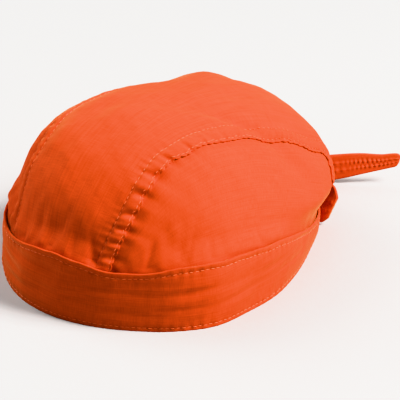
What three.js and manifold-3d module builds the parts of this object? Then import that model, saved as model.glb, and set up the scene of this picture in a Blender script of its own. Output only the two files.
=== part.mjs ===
import * as THREE from 'three';
import { mergeVertices } from 'three/addons/utils/BufferGeometryUtils.js';
import Module from 'manifold-3d';

// A headscarf sewn as a close cap: a centre panel lapped over two side panels, a brow band
// that holds their lower edges, and two ties knotted at the back with both ends hanging free.
// Millimetres, +Z up. The front faces -Y and the wearer's left is +X. The rim rests on z = 0.

// Head opening, from its middle to the outside of the brow band
const headFront = 93;
const headBack = 109;
const headHalfWidth = 84;
const headSquareness = 2.07;

// Crown, measured over its outer face
const crownHeight = 102;
const crownFullness = 2.3;
const panelCloth = 1.2;

// Felled seams that join the centre panel to the side panels
const lapWidth = 8.5;
const puckerPitch = 11.5;
const puckerHeight = 1.6;

// Brow band: an outer layer, turned in at the foot under the crown's lower edge
const bandHeight = 36.5;
const bandCloth = 1.2;
const bandFoot = 2.8;
const bandPuff = 0.8;
const bandTuck = 9;
const bandEndDegrees = 150;

// The crown swells out again above the band, over this height
const crownRise = 16;
const hemRise = 6;

// Ties and their knot
const tieWidth = 15;
const tieCloth = 1.8;
const tieFromFloor = 1;
const knotWidth = 24;
const knotHeight = 19;
const knotDepth = 16;
const knotFromFloor = 1.5;
const knotCreaseDepth = 1.6;
const upperEndLength = 76;
const upperEndHeading = 40;
const lowerEndLength = 62;
const lowerEndHeading = -18;

// Room left between sewn pieces, inside the band at the crown's hem, and under the seams' laps
const clearance = 0.3;
const hemRoom = 0.5;
const seamRoom = 0.9;

const clothColor = 0xe2552a;

const degree = Math.PI / 180;

// Height of the band, as a share of bandHeight, at each angle around from the front
const bandHeights = [
  { around: 0, share: 1.09 },
  { around: 10, share: 1.04 },
  { around: 22, share: 0.95 },
  { around: 34, share: 0.96 },
  { around: 50, share: 1.06 },
  { around: 62, share: 1.05 },
  { around: 85, share: 0.95 },
  { around: 99, share: 0.86 },
  { around: 111, share: 0.72 },
  { around: 124, share: 0.57 },
  { around: 141, share: 0.42 },
  { around: 150, share: 0.39 },
  { around: 180, share: 0.39 },
];

// How far the foot and the top edge of the soft band stand out from the plain outline, as
// shares of headHalfWidth, at each angle around (the wearer's left is positive)
const bandForms = [
  { around: -180, foot: 0, top: 0 },
  { around: -145, foot: 0, top: 0 },
  { around: -110, foot: 0.016, top: 0 },
  { around: -90, foot: 0.038, top: 0 },
  { around: -68, foot: 0.064, top: 0 },
  { around: -52, foot: 0.052, top: 0.012 },
  { around: -38, foot: 0.022, top: 0.008 },
  { around: -15, foot: 0.012, top: 0 },
  { around: 0, foot: 0, top: -0.012 },
  { around: 15, foot: -0.02, top: -0.03 },
  { around: 30, foot: -0.022, top: -0.032 },
  { around: 46, foot: 0.012, top: 0 },
  { around: 60, foot: 0.036, top: 0.02 },
  { around: 75, foot: 0.004, top: -0.01 },
  { around: 92, foot: -0.004, top: -0.012 },
  { around: 106, foot: -0.028, top: -0.02 },
  { around: 120, foot: -0.048, top: -0.022 },
  { around: 132, foot: -0.05, top: -0.015 },
  { around: 145, foot: -0.012, top: 0 },
  { around: 150, foot: 0, top: 0 },
  { around: 180, foot: 0, top: 0 },
];

// Seam edges of the centre panel: degrees aside from the middle plane, at each angle along
// the crown from the front rim (0) over the top (90) to the back rim (180)
const seamEdges = [
  { along: 0, left: 20.5, right: 27 },
  { along: 22, left: 20.5, right: 27 },
  { along: 42, left: 20.7, right: 26.5 },
  { along: 56, left: 20.7, right: 27.5 },
  { along: 65, left: 21.3, right: 28.5 },
  { along: 70, left: 23.2, right: 29 },
  { along: 80, left: 25.6, right: 29.5 },
  { along: 92, left: 28.2, right: 30 },
  { along: 107, left: 30.5, right: 31.5 },
  { along: 121, left: 33.8, right: 33.8 },
  { along: 138, left: 34.6, right: 34.6 },
  { along: 150, left: 35.4, right: 35.4 },
  { along: 180, left: 35.5, right: 35.5 },
];

// Swellings and dents of the crown. Each is centred at an angle around from the front (the
// wearer's left is positive) and up from the rim, turned, and falls away over its long and
// wide half-sizes in degrees. Its height is a share of crownHeight.
const crownForms = [
  { name: 'full back', around: 180, up: 32, turn: 0, long: 60, wide: 28, out: 0.099 },
  { name: 'flat top', around: 180, up: 75, turn: 0, long: 40, wide: 30, out: -0.043 },
  { name: 'left side', around: 90, up: 40, turn: 0, long: 40, wide: 25, out: 0.012 },
  { name: 'right front swell', around: -45, up: 22, turn: 0, long: 16, wide: 12, out: 0.013 },
  { name: 'right shoulder', around: -67, up: 49, turn: 0, long: 22, wide: 14, out: 0.03 },
  { name: 'right back hollow', around: -143, up: 54, turn: 0, long: 14, wide: 12, out: -0.03 },
  { name: 'right back peak', around: -160, up: 49, turn: 0, long: 7, wide: 8, out: 0.03 },
  { name: 'back hollow', around: -174, up: 47, turn: 0, long: 7, wide: 8, out: -0.011 },
  { name: 'left back corner', around: 146, up: 20, turn: 0, long: 18, wide: 16, out: 0.063 },
  { name: 'crossing crease', around: 119, up: 63, turn: 105, long: 11, wide: 2.6, out: -0.016 },
  { name: 'fold below the seam', around: 123, up: 42, turn: 95, long: 11, wide: 3.5, out: -0.018 },
  { name: 'dent above the band', around: 47, up: 26, turn: 75, long: 5, wide: 2.6, out: -0.022 },
  { name: 'front gather', around: 8, up: 26, turn: 80, long: 7, wide: 2.4, out: -0.012 },
  { name: 'second front gather', around: -4, up: 27, turn: 95, long: 7, wide: 2.4, out: -0.012 },
];

// Widths and heights of the free ends, as shares of the tie's width, at each share of the length
const upperEndShape = [
  { at: 0, width: 0.75, middle: 0.72 },
  { at: 0.14, width: 0.85, middle: 0.7 },
  { at: 0.3, width: 1.1, middle: 0.7 },
  { at: 0.47, width: 1.14, middle: 0.79 },
  { at: 0.68, width: 0.98, middle: 0.95 },
  { at: 0.85, width: 0.75, middle: 1.04 },
  { at: 0.93, width: 0.68, middle: 1.13 },
  { at: 0.98, width: 0.56, middle: 1.16 },
  { at: 1, width: 0.3, middle: 1.17 },
];
const lowerEndShape = [
  { at: 0, width: 0.9, middle: 0.7 },
  { at: 0.3, width: 1.05, middle: 0.72 },
  { at: 0.7, width: 1.2, middle: 0.75 },
  { at: 0.9, width: 1.3, middle: 0.78 },
  { at: 0.96, width: 1.15, middle: 0.78 },
  { at: 1, width: 0.75, middle: 0.78 },
];

// How far each free end bows out from its straight line, as a share of its length
const upperEndBow = 0.03;
const lowerEndBow = 0.11;

// Where along its way a tie starts to gather towards the knot, and its width there at the end
const tieGatherStart = 0.55;
const tieGatherShare = 0.6;

// How a side panel's edge lies under the lap, as shares of lapWidth: how deep it goes in, and
// how much of the hem its cut corner takes. The panel comes up level again past the lap.
const tuckShare = 0.8;
const cornerLaps = 1.2;
const sinkWidth = 9;

// The knot's flat side and slanting creases, as shares of its half-sizes, and their slant
const knotFlatSide = 0.7;
const knotCreasePlace = 0.32;
const knotCreaseSpread = 0.14;
const knotCreaseSlant = 35;

// Faceting: steps along and across each piece
const stepsPerPucker = 3;
const sideSteps = 44;
const bandSteps = 80;
const tieSteps = 12;
const endSteps = 18;
const strapRows = 2;
const knotSteps = 20;

// Rows across the panels. The centre panel's go from its middle to the lap and then over the
// lap, and a side panel's go from its edge under the lap down to the hem.
const centreRows = [0, 0.3, 0.58, 0.82, 1];
const lapRows = [0.3, 0.75, 1];
const sideRows = [0, 0.06, 0.12, 0.2, 0.3, 0.42, 0.55, 0.68, 0.8, 0.9, 1];

// Rows up the band, on its outer and its inner face: 0 is the floor, 1 the ledge that the
// crown's hem stands on, and 2 the top edge. Puff is a share of bandPuff.
const bandRows = [
  { outer: 0, inner: 0, depth: bandFoot, puff: 0 },
  { outer: 0.5, inner: 1, depth: bandFoot, puff: 0.8 },
  { outer: 1, inner: 1, depth: bandCloth, puff: 1 },
  { outer: 1.5, inner: 1.5, depth: bandCloth, puff: 0.5 },
  { outer: 2, inner: 2, depth: bandCloth, puff: 0 },
];

// The value of a table's column between its rows, on a smooth curve through them
function fromTable(table, place, column, at) {
  const last = table.length - 1;
  const x = THREE.MathUtils.clamp(at, table[0][place], table[last][place]);
  let row = 0;
  while (row < last - 1 && x > table[row + 1][place]) row += 1;
  const slope = (index) => {
    const before = table[Math.max(index - 1, 0)];
    const after = table[Math.min(index + 1, last)];
    return (after[column] - before[column]) / (after[place] - before[place]);
  };
  const width = table[row + 1][place] - table[row][place];
  const s = (x - table[row][place]) / width;
  const start = table[row][column];
  const change = table[row + 1][column] - start;
  const ease = s * s * (3 - 2 * s);
  const swing = s * (1 - s) * ((1 - s) * slope(row) - s * slope(row + 1));
  return start + change * ease + swing * width;
}

function smooth(value, from, to) {
  return THREE.MathUtils.smoothstep(value, from, to);
}

// A direction from the middle of the head opening, by degrees around and up
function aimAround(around, up) {
  const turn = around * degree;
  const rise = up * degree;
  const level = Math.cos(rise);
  return new THREE.Vector3(Math.sin(turn) * level, -Math.cos(turn) * level, Math.sin(rise));
}

// A direction by degrees along the middle plane from the front, and aside from that plane
function aimAlong(along, aside) {
  const turn = along * degree;
  const lean = aside * degree;
  const upright = Math.cos(lean);
  return new THREE.Vector3(Math.sin(lean), -Math.cos(turn) * upright, Math.sin(turn) * upright);
}

function aroundOf(aim) {
  return Math.atan2(aim.x, -aim.y) / degree;
}

function bandTop(around) {
  return bandHeight * fromTable(bandHeights, 'around', 'share', Math.abs(around));
}

// How far the band's outer face stands out from the plain outline at a height
function bandForm(around, height) {
  const foot = fromTable(bandForms, 'around', 'foot', around);
  const top = fromTable(bandForms, 'around', 'top', around);
  const up = THREE.MathUtils.clamp(height / bandTop(around), 0, 1);
  return headHalfWidth * THREE.MathUtils.lerp(foot, top, up);
}

function bandLedge(around) {
  return Math.max(bandTop(around) - bandTuck, tieFromFloor);
}

// How far out towards the rim's outline a level step along an aim goes, as a share for each
// millimetre. The inset is the depth inside the band's outer face.
function rimShare(aim, inset) {
  const halfLength = (aim.y < 0 ? headFront : headBack) - inset;
  const acrossShare = (Math.abs(aim.x) / (headHalfWidth - inset)) ** headSquareness;
  const lengthShare = (Math.abs(aim.y) / halfLength) ** headSquareness;
  return (acrossShare + lengthShare) ** (1 / headSquareness);
}

// How far a swelling or dent lifts the crown in a direction
function formHeight(aim, form) {
  const centre = aimAround(form.around, form.up);
  const facing = aim.dot(centre);
  if (facing <= 0) return 0;
  const level = aimAround(form.around + 90, 0);
  const rise = new THREE.Vector3().crossVectors(centre, level);
  const turn = form.turn * degree;
  const x = Math.atan2(aim.dot(level), facing) / degree;
  const y = Math.atan2(aim.dot(rise), facing) / degree;
  const lengthways = (x * Math.cos(turn) + y * Math.sin(turn)) / form.long;
  const crossways = (y * Math.cos(turn) - x * Math.sin(turn)) / form.wide;
  return form.out * crownHeight * Math.exp(-(lengthways ** 2) - crossways ** 2);
}

// How far out the crown's outer face lies in a direction: a full dome with its swellings and
// dents, drawn in just inside the band's outer layer at the band's top edge and below it
function crownReach(aim) {
  const flat = rimShare(aim, bandCloth + hemRoom);
  const rise = Math.abs(aim.z) / crownHeight;
  const dome = (flat ** crownFullness + rise ** crownFullness) ** (-1 / crownFullness);
  const around = aroundOf(aim);
  const top = bandTop(around);
  const height = dome * aim.z;
  const forms = crownForms.reduce((sum, form) => sum + formHeight(aim, form), 0);
  const swollen = dome + forms * smooth(height, top, top + crownRise);
  const held = 1 - smooth(height, top, top + hemRise);
  if (held === 0) return swollen;
  const wall = 1 / flat + bandForm(around, height) / Math.hypot(aim.x, aim.y);
  return THREE.MathUtils.lerp(swollen, wall, held);
}

// A point on the crown, lifted off its outer face
function crownPoint(aim, lift) {
  return aim.clone().multiplyScalar(crownReach(aim) + lift);
}

// A point on the band's outer face at an angle around and a height, moved out by an offset
function rimPoint(around, offset, height) {
  const onOutline = (angle) => {
    const aim = aimAround(angle, 0);
    return aim.multiplyScalar(1 / rimShare(aim, 0) + bandForm(angle, height));
  };
  const step = 0.5;
  const forward = onOutline(around + step).sub(onOutline(around - step)).normalize();
  const out = new THREE.Vector3(forward.y, -forward.x, 0);
  return onOutline(around).addScaledVector(out, offset).setZ(height);
}

// The first value from low to high at which the panels, and their edges sunk under the laps,
// have come up to the hem
function findHem(low, high, aimAt) {
  const deepest = 2 * panelCloth + seamRoom;
  let below = low;
  let above = high;
  for (let turn = 0; turn < 20; turn += 1) {
    const middle = (below + above) / 2;
    const aim = aimAt(middle);
    const hem = bandLedge(aroundOf(aim)) + clearance;
    if ((crownReach(aim) - deepest) * aim.z < hem) below = middle;
    else above = middle;
  }
  return above;
}

function seamAside(along, side) {
  return side * fromTable(seamEdges, 'along', side > 0 ? 'left' : 'right', along);
}

// The angle aside of a line that runs inside the seam's edge by a width
function insideSeam(along, side, width) {
  const edge = seamAside(along, side);
  return edge - side * width / crownReach(aimAlong(along, edge)) / degree;
}

// Turns a closed mesh the right way out
function facingOut(geometry) {
  const positions = geometry.getAttribute('position');
  const index = geometry.getIndex();
  const corner = (i) => new THREE.Vector3().fromBufferAttribute(positions, index.getX(i));
  let volume = 0;
  for (let i = 0; i < index.count; i += 3) {
    volume += corner(i).dot(corner(i + 1).cross(corner(i + 2)));
  }
  if (volume < 0) index.array.reverse();
  geometry.computeVertexNormals();
  return geometry;
}

function onlyPositions(geometry) {
  geometry.deleteAttribute('normal');
  geometry.deleteAttribute('uv');
  return mergeVertices(geometry, 1e-4);
}

// A box bent into a wall. place(u, v, outside) gives the point for each share along, each
// share across, and each face, where outside is 1 on the outer face and 0 on the inner.
function bendBox(stepsAlong, stepsAcross, place) {
  const box = new THREE.BoxGeometry(1, 1, 1, stepsAlong, stepsAcross, 1);
  const positions = box.getAttribute('position');
  for (let i = 0; i < positions.count; i += 1) {
    const outside = positions.getZ(i) > 0 ? 1 : 0;
    const point = place(positions.getX(i) + 0.5, positions.getY(i) + 0.5, outside);
    positions.setXYZ(i, point.x, point.y, point.z);
  }
  return facingOut(onlyPositions(box));
}

// The centre panel runs from the front hem over the top to the back hem, with its edges lying
// over the side panels. Each lap is pinched down at every stitch of the gather and puffs up
// between the pinches.
function centrePanelShape() {
  const girth = Math.PI * Math.hypot((headFront + headBack) / 2, crownHeight) / Math.SQRT2;
  const pinches = Math.round((girth - bandHeight) / puckerPitch);
  const rows = [...centreRows, ...lapRows.map((share) => 1 + share)];
  const stepsAcross = 2 * (rows.length - 1);
  const asideAt = (along, side, share) => {
    const lapStart = insideSeam(along, side, lapWidth);
    if (share <= 1) return lapStart * share;
    return THREE.MathUtils.lerp(lapStart, seamAside(along, side), share - 1);
  };
  const lines = Array.from({ length: stepsAcross + 1 }, (_, line) => {
    const row = line - stepsAcross / 2;
    const side = Math.sign(row) || 1;
    const share = rows[Math.abs(row)];
    const aimAt = (along) => aimAlong(along, asideAt(along, side, share));
    return { aimAt, share, start: findHem(0, 90, aimAt), end: findHem(180, 90, aimAt) };
  });
  return bendBox(pinches * stepsPerPucker, stepsAcross, (u, v, outside) => {
    const { aimAt, share, start, end } = lines[Math.round(v * stepsAcross)];
    const fromEnds = Math.min(u, 1 - u) * pinches;
    const puffed = smooth(share, 1, 1 + lapRows[0]) * smooth(fromEnds, 1, 2);
    const puff = puckerHeight * puffed * Math.abs(Math.sin(u * pinches * Math.PI));
    return crownPoint(aimAt(THREE.MathUtils.lerp(start, end, u)), puff - (1 - outside) * panelCloth);
  });
}

// A side panel hangs from its seam, where its edge is sunk under the centre panel's lap, down
// to the hem inside the band
function sidePanelShape(side) {
  const tucked = (along) => aimAlong(along, insideSeam(along, side, lapWidth * tuckShare));
  const seamStart = findHem(0, 90, tucked);
  const seamEnd = findHem(180, 90, tucked);
  const cornerTurn = side * lapWidth * cornerLaps / headHalfWidth / degree;
  const hemStart = aroundOf(tucked(seamStart)) + cornerTurn;
  const hemEnd = aroundOf(tucked(seamEnd)) - cornerTurn;
  const hemAims = Array.from({ length: sideSteps + 1 }, (_, step) => {
    const around = THREE.MathUtils.lerp(hemStart, hemEnd, step / sideSteps);
    return aimAround(around, findHem(0, 60, (up) => aimAround(around, up)));
  });
  return bendBox(sideSteps, sideRows.length - 1, (u, v, outside) => {
    const top = tucked(THREE.MathUtils.lerp(seamStart, seamEnd, u));
    const hem = hemAims[Math.round(u * sideSteps)];
    const share = sideRows[Math.round(v * (sideRows.length - 1))];
    const aim = top.lerp(hem, share).normalize();
    const along = Math.atan2(aim.z, -aim.y) / degree;
    const aside = Math.asin(aim.x) / degree;
    const beyond = side * (aside - seamAside(along, side)) * degree * crownReach(aim);
    const sunk = (panelCloth + seamRoom) * (1 - smooth(beyond, 0, sinkWidth));
    return crownPoint(aim, -sunk - (1 - outside) * panelCloth);
  });
}

// The brow band stands on its foot, which is turned in under the crown's hem. Its outer layer
// rises past the hem and covers it.
function browBandShape() {
  return bendBox(bandSteps, bandRows.length - 1, (u, v, outside) => {
    const around = THREE.MathUtils.lerp(-bandEndDegrees, bandEndDegrees, u);
    const row = bandRows[Math.round(v * (bandRows.length - 1))];
    const ledge = bandLedge(around);
    const stage = outside ? row.outer : row.inner;
    const above = (bandTop(around) - ledge) * Math.max(stage - 1, 0);
    const height = ledge * Math.min(stage, 1) + above;
    return rimPoint(around, outside ? bandPuff * row.puff : -row.depth, height);
  });
}

// A flat strap standing on edge. place(u) gives its middle point, its width and its outward
// side at each share of the length.
function strapShape(steps, place) {
  return bendBox(steps, strapRows, (u, v, outside) => {
    const { middle, width, out } = place(u);
    const lift = (v - 0.5) * width;
    return middle.clone().addScaledVector(out, (outside - 0.5) * tieCloth).setZ(middle.z + lift);
  });
}

// Each tie carries the band on round the back of the head to the knot
function tieShape(side) {
  const start = bandEndDegrees + clearance / headHalfWidth / degree;
  const end = 180 - knotWidth / 4 / headBack / degree;
  return strapShape(tieSteps, (u) => {
    const around = THREE.MathUtils.lerp(start, end, u);
    const gathered = smooth(u, tieGatherStart, 1);
    const fullWidth = bandTop(around) - tieFromFloor;
    const width = fullWidth * THREE.MathUtils.lerp(1, tieGatherShare, gathered);
    const height = THREE.MathUtils.lerp(tieFromFloor + width / 2, knotCentre().z, gathered);
    const middle = rimPoint(side * around, tieCloth / 2 - bandCloth, height);
    const inner = rimPoint(side * around, -bandCloth, middle.z);
    return { middle, width, out: middle.clone().sub(inner).normalize() };
  });
}

function knotCentre() {
  const flatSide = knotDepth / 2 * knotFlatSide;
  return new THREE.Vector3(0, headBack - bandCloth + flatSide, knotFromFloor + knotHeight / 2);
}

// The knot: a firm lump with two slanting creases, flat where it lies against the crown. It
// can be grown all over to make room for the straps that come out of it.
function knotShape(grown) {
  const knot = new THREE.SphereGeometry(1, knotSteps, knotSteps / 2);
  const half = new THREE.Vector3(knotWidth, knotDepth, knotHeight).divideScalar(2);
  const positions = knot.getAttribute('position');
  const slant = knotCreaseSlant * degree;
  for (let i = 0; i < positions.count; i += 1) {
    const point = new THREE.Vector3().fromBufferAttribute(positions, i);
    const across = point.x * Math.cos(slant) + point.z * Math.sin(slant);
    const fromCrease = (Math.abs(across) - knotCreasePlace) / knotCreaseSpread;
    const crease = knotCreaseDepth / half.z * Math.exp(-(fromCrease ** 2));
    point.multiplyScalar(1 - crease);
    point.y = Math.max(point.y, -knotFlatSide);
    point.multiply(half.clone().addScalar(grown)).add(knotCentre());
    positions.setXYZ(i, point.x, point.y, point.z);
  }
  return facingOut(onlyPositions(knot));
}

// A free end leaves the knot at a heading from the wearer's left, bowed out on the way
function freeEndShape(length, heading, bow, shape) {
  const forward = new THREE.Vector3(Math.cos(heading * degree), Math.sin(heading * degree), 0);
  const out = new THREE.Vector3(-forward.y, forward.x, 0);
  return strapShape(endSteps, (u) => {
    const at = (share) => knotCentre().setZ(tieWidth * fromTable(shape, 'at', 'middle', share))
      .addScaledVector(forward, length * share)
      .addScaledVector(out, length * bow * Math.sin(Math.PI * share));
    const width = tieWidth * fromTable(shape, 'at', 'width', u);
    return { middle: at(u), width, out };
  });
}

const wasm = await Module();
wasm.setup();

function toSolid(geometry) {
  return new wasm.Manifold(new wasm.Mesh({
    numProp: 3,
    vertProperties: new Float32Array(geometry.getAttribute('position').array),
    triVerts: new Uint32Array(geometry.getIndex().array),
  }));
}

function toGeometry(solid) {
  const mesh = solid.getMesh();
  const geometry = new THREE.BufferGeometry();
  geometry.setAttribute('position', new THREE.BufferAttribute(mesh.vertProperties, 3));
  geometry.setIndex(new THREE.BufferAttribute(mesh.triVerts, 1));
  geometry.computeVertexNormals();
  return geometry;
}

// A strap cut back to the knot, with room left round it
function outsideKnot(strap) {
  return toGeometry(toSolid(strap).subtract(toSolid(knotShape(clearance))));
}

const cloth = new THREE.MeshStandardMaterial({ color: clothColor, roughness: 0.9, metalness: 0 });

function piece(name, geometry) {
  const mesh = new THREE.Mesh(geometry, cloth.clone());
  mesh.name = name;
  return mesh;
}

const upperEnd = freeEndShape(upperEndLength, upperEndHeading, upperEndBow, upperEndShape);
const lowerEnd = freeEndShape(lowerEndLength, lowerEndHeading, lowerEndBow, lowerEndShape);

const headscarf = new THREE.Group();
headscarf.add(piece('centre_panel', centrePanelShape()));
headscarf.add(piece('side_panel_left', sidePanelShape(1)));
headscarf.add(piece('side_panel_right', sidePanelShape(-1)));
headscarf.add(piece('brow_band', browBandShape()));
headscarf.add(piece('tie_left', outsideKnot(tieShape(1))));
headscarf.add(piece('tie_right', outsideKnot(tieShape(-1))));
headscarf.add(piece('tie_knot', knotShape(0)));
headscarf.add(piece('tie_end_upper', outsideKnot(upperEnd)));
headscarf.add(piece('tie_end_lower', outsideKnot(lowerEnd)));

// The origin goes to the middle of the underside of the box round the whole headscarf
const box = new THREE.Box3().setFromObject(headscarf);
const middle = box.getCenter(new THREE.Vector3());
headscarf.position.set(-middle.x, -middle.y, -box.min.z);

export default headscarf;
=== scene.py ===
import math

import bmesh
import bpy
import numpy as np
from mathutils import Matrix, Vector


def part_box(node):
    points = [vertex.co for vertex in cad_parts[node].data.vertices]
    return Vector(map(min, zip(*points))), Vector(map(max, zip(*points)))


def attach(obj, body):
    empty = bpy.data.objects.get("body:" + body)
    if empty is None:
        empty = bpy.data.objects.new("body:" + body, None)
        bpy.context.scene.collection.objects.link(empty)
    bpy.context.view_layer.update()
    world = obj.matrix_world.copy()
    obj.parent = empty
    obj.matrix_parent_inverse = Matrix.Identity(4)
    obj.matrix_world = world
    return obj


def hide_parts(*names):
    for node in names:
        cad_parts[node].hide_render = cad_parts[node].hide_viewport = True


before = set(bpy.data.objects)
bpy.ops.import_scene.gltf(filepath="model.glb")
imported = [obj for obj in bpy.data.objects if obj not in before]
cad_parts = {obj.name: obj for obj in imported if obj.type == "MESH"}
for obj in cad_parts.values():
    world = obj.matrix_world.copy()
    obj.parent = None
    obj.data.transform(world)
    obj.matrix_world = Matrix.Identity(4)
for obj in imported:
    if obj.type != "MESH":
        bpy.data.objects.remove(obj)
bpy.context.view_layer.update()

# A headscarf sewn as a close cap, standing on its rim. The front faces -Y, the wearer's left is
# +X, and every place is worked out from the middle of the head opening. Lengths in metres.
MM = 0.001

# Head opening and crown, over their outer faces
HEAD_FRONT = 93 * MM
HEAD_BACK = 109 * MM
HEAD_HALF_WIDTH = 84 * MM
HEAD_SQUARENESS = 2.07
CROWN_HEIGHT = 102 * MM
CROWN_FULLNESS = 2.3
PANEL_CLOTH = 0.9 * MM
SIDE_CLOTH = 0.8 * MM
HEM_ROOM = 0.5 * MM
HEM_INSIDE = 3 * MM

# Heights over the band's top edge between which swellings and dents come to their full depth
SWELL_RISE = (0, 16 * MM)
DENT_RISE = (-6 * MM, 1 * MM)

# The crown keeps the band's outline from below the band's top edge to above it, and bulges
# from the edge itself between these degrees, around from the front to each side
HEM_BELOW = 8 * MM
HEM_ABOVE = 12 * MM
RIGHT_BULGE = (25, 50)
LEFT_BULGE = (68, 88)

# Slack cloth hanging out over the band at the wearer's right: how far, the degrees around of
# its middle and half its width, and the heights over the band where it starts, is full and ends
SLACK_OUT = 3 * MM
SLACK_MIDDLE = -62
SLACK_HALF_WIDTH = 27
SLACK_HEIGHTS = (-1 * MM, 3.5 * MM, 20 * MM)

# Soft random swells of the cloth: depth, length and seed
CROWN_SWELLS = [(0.5 * MM, 34 * MM, 3), (0.13 * MM, 13 * MM, 5)]
BAND_SWELLS = [(0.3 * MM, 30 * MM, 41), (0.1 * MM, 11 * MM, 43)]

# Pleats that rise from the band: depth in front and behind, the degrees around between which
# it changes, how far up they fade, their length in radians around, and their seed
PLEAT_DEPTHS = (0.6 * MM, 0.2 * MM)
PLEAT_CHANGE = (40, 75)
PLEAT_FADE = 9 * MM
PLEAT_LENGTH = 0.085
PLEAT_SEED = 11

# Felled seams: the centre panel's folded edge laps over each side panel
LAP_WIDTH = 8.6 * MM
LAP_REST = 1.05 * MM
TUCK_SHARE = 0.8
CORNER_LAPS = 1.2
SINK_WIDTH = 7.5 * MM
EDGE_ROW = 1.2 * MM
STRIP_PUFF = 1.15 * MM
NICK_PITCH = 4.1 * MM

# How deep the inner and the outer stitch row draw in each seam's strip, left and right
ROW_DEPTHS = {1: (0.3 * MM, 0.15 * MM), -1: (0.135 * MM, 0.45 * MM)}

# Where the left seam's fold is turned over: degrees along, half-width and depth
TURNED_FOLD = (74, 2, 1.2 * MM)

# Waves of cloth along the stitches, by their pitch
STRIP_PUCKERS = 4.6 * MM
PANEL_PUCKERS = 6 * MM
BAND_PUCKERS = 5.4 * MM

# Stitches: pitch, then the thread's length and thickness
PANEL_STITCH = (3.1 * MM, 2.5 * MM, 0.34 * MM)
TIE_STITCH = (3 * MM, 2.3 * MM, 0.34 * MM)

# Brow band
BAND_HEIGHT = 36.5 * MM
BAND_CLOTH = 1.2 * MM
BAND_FOOT = 2.8 * MM
BAND_PUFF = 0.8 * MM
BAND_TUCK = 9 * MM
BAND_END = 150
TOP_ROW = 2.7 * MM
FOOT_ROW = 2.2 * MM

# The band's stitch rows: depth, and how far the cloth puckers beside them
TOP_ROW_FORM = (0.3 * MM, 3 * MM)
FOOT_ROW_FORM = (0.22 * MM, 2.5 * MM)

# Ties, their free ends and the knot
TIE_WIDTH = 15 * MM
TIE_CLOTH = 1.8 * MM
TIE_FROM_FLOOR = 1 * MM
TIE_GATHER_START = 0.55
TIE_GATHER_SHARE = 0.6
KNOT_SIZE = (24 * MM, 16 * MM, 19 * MM)
KNOT_FROM_FLOOR = 1.5 * MM
KNOT_FLAT_SIDE = 0.7
KNOT_SLANT = 35
KNOT_WRAP = 0.34
CLEARANCE = 0.3 * MM

# Columns of vertices along the panels and the band
CENTRE_COLUMNS = 520
SIDE_COLUMNS = 250
BAND_COLUMNS = 640

# Each vertex's place on its piece's flat cloth, which the weave follows. In millimetres: the
# centre panel's for a degree along and a share across, a side panel's length and depth, the
# band's for a radian around, a strap's half width and its way round to the back, and the
# knot's half size.
CLOTH_PLACE = "cloth_place"
CENTRE_FLAT = (1.75, 26)
SIDE_FLAT = (245, 105)
BAND_FLAT = 95
STRAP_FLAT = (7, 20)
KNOT_FLAT = 12

# Degrees along between which the seams are stitched
SEAM_STITCHED = (19, 158)

# Height of the band as a share of BAND_HEIGHT, by degrees around from the front
BAND_HEIGHTS = [
    (0, 1.09), (10, 1.04), (22, 0.95), (34, 0.96), (50, 1.06), (62, 1.05), (85, 0.95),
    (99, 0.86), (111, 0.72), (124, 0.57), (141, 0.42), (150, 0.39), (180, 0.39),
]

# How far the band's foot and its top edge stand out, as shares of the half width, by degrees
# around from the front, with the wearer's left positive
BAND_FEET = [
    (-180, 0), (-145, 0), (-110, 0.016), (-90, 0.038), (-68, 0.064), (-52, 0.052),
    (-38, 0.022), (-15, 0.012), (0, 0), (15, -0.02), (30, -0.022), (46, 0.012), (60, 0.036),
    (75, 0.004), (92, -0.004), (106, -0.028), (120, -0.048), (132, -0.05), (145, -0.012),
    (150, 0), (180, 0),
]
BAND_TOPS = [
    (-180, 0), (-145, 0), (-110, -0.035), (-90, -0.075), (-70, -0.088), (-52, -0.05),
    (-38, -0.002), (-15, 0), (0, -0.012), (15, -0.03), (30, -0.032), (46, 0), (60, 0.02),
    (75, -0.01), (92, -0.012), (106, -0.02), (120, -0.022), (132, -0.015), (145, 0), (150, 0),
    (180, 0),
]

# Degrees aside of each seam's folded edge, by degrees along from the front rim over the top.
# 1 is the wearer's left seam and -1 the right one.
SEAM_EDGES = {
    1: [(0, 20.5), (24, 20.5), (33, 21.6), (41, 22.5), (54, 22.9), (66, 22.9), (72, 24.4),
        (80, 26), (92, 28.9), (104, 30.7), (117, 33), (137, 34.5), (148, 32.6), (157, 36.5),
        (180, 36.5)],
    -1: [(0, 27.5), (22, 28), (32, 30.4), (42, 30.6), (56, 30.3), (65, 30), (80, 30),
         (92, 30), (107, 31.5), (121, 33.8), (138, 34.6), (150, 35.4), (180, 35.5)],
}

# Width of the strip between the folded edge and the inner stitch row, by degrees along
STRIP_WIDTHS = [
    (0, 8.6 * MM), (30, 8.6 * MM), (62, 9 * MM), (82, 10 * MM), (96, 10.4 * MM), (108, 8.8 * MM),
    (118, 8 * MM), (180, 8 * MM),
]

# Swellings and dents: degrees around and up, degrees turned, the long and wide half-sizes in
# degrees, and the height as a share of the crown's
CROWN_FORMS = [
    (180, 32, 0, 60, 28, 0.099),
    (180, 75, 0, 40, 30, -0.043),
    (90, 40, 0, 40, 25, 0.012),
    (-64, 24, 0, 22, 12, -0.018),
    (-67, 49, 0, 22, 14, 0.03),
    (-143, 54, 0, 14, 12, -0.03),
    (-160, 49, 0, 7, 8, 0.03),
    (-174, 47, 0, 7, 8, -0.011),
    (146, 20, 0, 18, 16, 0.063),
    (119, 63, 105, 12, 2.3, -0.025),
    (123, 42, 95, 11, 3.3, -0.024),
    (47, 26, 75, 5, 2.6, -0.022),
    (8, 26, 80, 7, 2.4, -0.012),
    (-4, 27, 95, 7, 2.4, -0.012),
    (-2, 21, 0, 20, 10, -0.018),
]

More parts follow.
